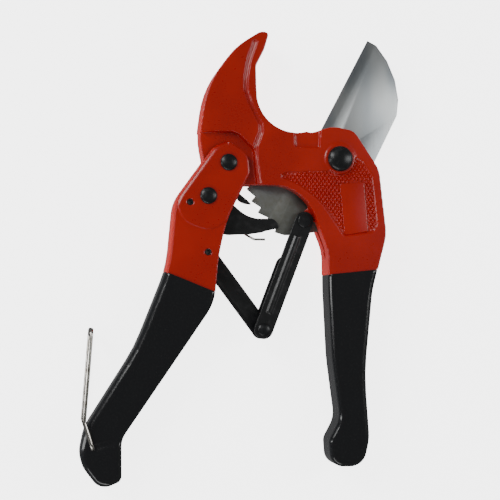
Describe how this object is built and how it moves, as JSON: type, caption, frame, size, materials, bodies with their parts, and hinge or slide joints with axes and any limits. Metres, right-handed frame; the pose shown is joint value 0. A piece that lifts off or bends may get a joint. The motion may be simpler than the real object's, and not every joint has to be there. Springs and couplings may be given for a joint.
{
  "type": "ratchet pipe cutter",
  "caption": "Hand-held ratchet cutter for plastic pipe, with a hooked jaw and pipe seat, a swinging blade with ratchet teeth, a pivoting lever, folding links and a wire locking bail.",
  "frame": {"origin": "centre of the pipe seat, on the blade's middle plane", "axes": "+Z along the pipe and out of the tool's front face, +Y from the handles towards the jaw, +X from the lever side to the blade side"},
  "size_m": [0.17, 0.2365, 0.0262],
  "materials": {
    "red_enamel": "gloss",
    "black_dip": "gloss",
    "blade_steel": "satin",
    "black_oxide": "semi-gloss",
    "black_steel": "semi-gloss",
    "spring_wire": "satin",
    "pin_steel": "satin",
    "bright_zinc": "satin",
    "bail_wire": "polished"
  },
  "bodies": {
    "body": {"body_casting": "red_enamel", "body_grip": "black_dip", "blade_bolt": "black_oxide", "blade_nut": "black_oxide", "blade_washers": "bright_zinc", "lever_rivet": "black_oxide", "stay_rivet": "black_oxide"},
    "blade": {"blade": "blade_steel"},
    "lever": {"lever_casting": "red_enamel", "lever_grip": "black_dip", "pawl_rivet": "black_oxide", "spring_anchor_pin": "pin_steel", "link_pin": "pin_steel", "return_spring": "spring_wire", "bail_bush": "bright_zinc"},
    "drive_pawl": {"drive_pawl": "black_steel", "pawl_spring": "spring_wire"},
    "holding_pawl": {"holding_pawl": "black_steel"},
    "stay_link": {"stay_link": "black_steel", "knee_rivet": "black_oxide"},
    "lever_link": {"lever_link": "black_steel"},
    "lock_bail": {"lock_bail": "bail_wire"}
  },
  "joints": [
    {"name": "lever_squeeze", "type": "hinge", "parent": "body", "child": "lever", "pos_m": [-0.036, -0.0376, 0], "axis": [0, 0, 1], "range_deg": [0, 34]},
    {"name": "blade_swing", "type": "hinge", "parent": "body", "child": "blade", "pos_m": [0.0236, -0.0346, 0], "axis": [0, 0, 1], "range_deg": [0, 70]},
    {"name": "pawl_tilt", "type": "hinge", "parent": "lever", "child": "drive_pawl", "pos_m": [-0.0466, -0.0552, 0], "axis": [0, 0, 1], "range_deg": [-42, 0]},
    {"name": "holding_lift", "type": "hinge", "parent": "body", "child": "holding_pawl", "pos_m": [-0.036, -0.0376, 0], "axis": [0, 0, 1], "range_deg": [-8, 0]},
    {"name": "stay_swing", "type": "hinge", "parent": "body", "child": "stay_link", "pos_m": [0.0053, -0.0674, 0], "axis": [0, 0, 1], "range_deg": [0, 17]},
    {"name": "knee_fold", "type": "hinge", "parent": "stay_link", "child": "lever_link", "pos_m": [-0.0166, -0.1248, 0], "axis": [0, 0, 1], "range_deg": [-31, 0]},
    {"name": "bail_swing", "type": "hinge", "parent": "lever", "child": "lock_bail", "pos_m": [-0.1054, -0.1852, 0], "axis": [0, 0, 1], "range_deg": [-15, 257]}
  ],
  "couplings": [
    {"joint": "pawl_tilt", "follows": "lever_squeeze", "ratio": -1.21},
    {"joint": "stay_swing", "follows": "lever_squeeze", "ratio": 0.4962},
    {"joint": "knee_fold", "follows": "lever_squeeze", "ratio": -0.9006}
  ]
}
